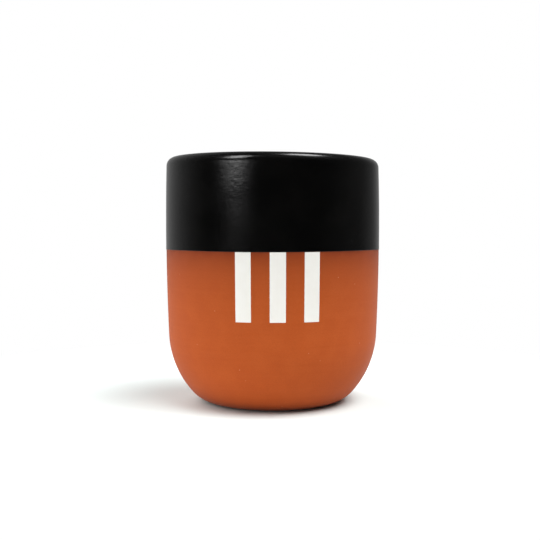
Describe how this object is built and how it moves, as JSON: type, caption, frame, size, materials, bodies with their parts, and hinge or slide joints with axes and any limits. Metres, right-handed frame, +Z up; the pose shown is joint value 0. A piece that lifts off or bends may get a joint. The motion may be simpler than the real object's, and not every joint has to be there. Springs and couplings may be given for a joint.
{
  "type": "handleless mug",
  "caption": "Round-heeled handleless terracotta mug, black glaze over the lip and inside, and white slip stripes hanging from the glaze line on one side.",
  "frame": {"origin": "centre of the foot, on the surface that the mug stands on", "axes": "+Z up along the mug's axis, -Y towards the middle stripe"},
  "size_m": [0.083, 0.083, 0.0944],
  "materials": {
    "terracotta": "bare fired clay, matte",
    "black_glaze": "satin black glaze",
    "white_slip": "smooth white slip, matte"
  },
  "bodies": {
    "root": {"clay_body": "terracotta", "dipped_glaze": "black_glaze", "liner_glaze": "black_glaze", "left_stripe": "white_slip", "middle_stripe": "white_slip", "right_stripe": "white_slip"}
  },
  "joints": []
}
